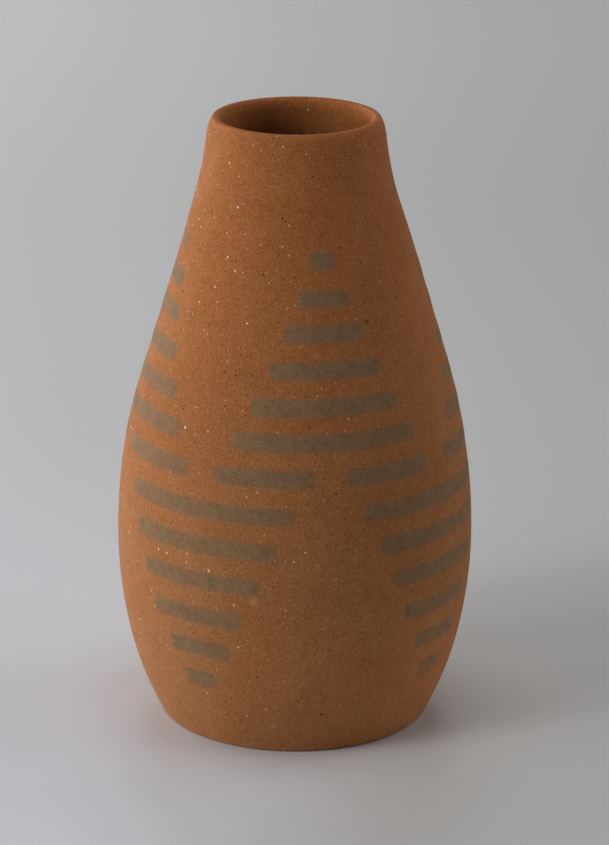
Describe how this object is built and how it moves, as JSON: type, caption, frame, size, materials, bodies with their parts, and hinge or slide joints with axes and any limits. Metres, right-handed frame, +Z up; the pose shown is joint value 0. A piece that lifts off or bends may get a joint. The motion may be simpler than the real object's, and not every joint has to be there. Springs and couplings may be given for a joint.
{
  "type": "terracotta jar",
  "caption": "Slender open-mouthed terracotta jar with stepped triangles of grey slip bars round its wall, standing on a flat foot ring.",
  "frame": {"origin": "centre of the foot ring's flat standing face, on the jar's axis", "axes": "+Z up along the jar's axis, -Y towards the side that the picture shows, +X to the right of it"},
  "size_m": [0.145, 0.145, 0.25],
  "materials": {
    "clay": "matte unglazed fired clay with pale grog specks",
    "slip": "matte grey-brown slip"
  },
  "bodies": {
    "root": {"jar_body": "clay", "slip_rising_points": "slip", "slip_middle_row": "slip", "slip_hanging_points": "slip"}
  },
  "joints": []
}
